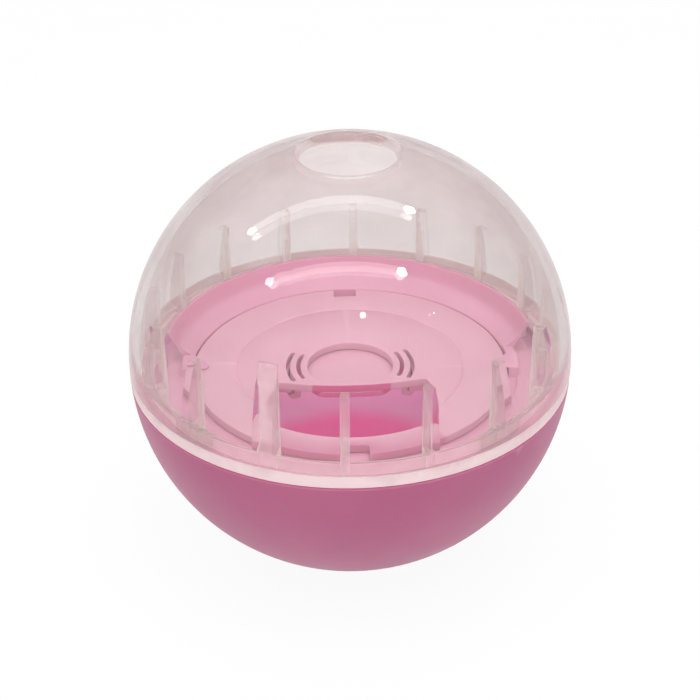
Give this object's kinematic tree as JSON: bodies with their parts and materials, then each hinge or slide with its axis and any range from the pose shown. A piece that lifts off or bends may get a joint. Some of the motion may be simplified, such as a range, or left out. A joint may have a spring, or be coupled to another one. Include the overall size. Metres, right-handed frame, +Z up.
{
  "type": "treat ball",
  "caption": "Pet treat ball: a pink bowl under a clear ribbed dome with a treat hole, and between them a tray with a turning disc whose window meters the treats.",
  "frame": {"origin": "middle of the flat foot that the ball stands on, straight under the ball's centre", "axes": "+Z up through the treat hole, and -Y towards the front, where the disc's window is"},
  "size_m": [0.11, 0.11, 0.1076],
  "materials": {
    "bowl_pink": "gloss",
    "tray_pink": "satin",
    "disc_pink": "satin",
    "clear_dome": "clear gloss"
  },
  "bodies": {
    "base": {"base_bowl": "bowl_pink"},
    "insert": {"tray": "tray_pink"},
    "selector": {"selector_disc": "disc_pink"},
    "lid": {"dome": "clear_dome"}
  },
  "joints": [
    {"name": "dome_lock_turn", "type": "hinge", "parent": "base", "child": "insert", "pos_m": [0, 0, 0.05408], "axis": [0, 0, 1], "range_deg": [-22.5, 0]},
    {"name": "dome_lift", "type": "slide", "parent": "insert", "child": "lid", "axis": [0, 0, 1], "range_m": [0, 0.07]},
    {"name": "selector_turn", "type": "hinge", "parent": "insert", "child": "selector", "pos_m": [0, 0, 0.05408], "axis": [0, 0, 1], "continuous": true}
  ]
}
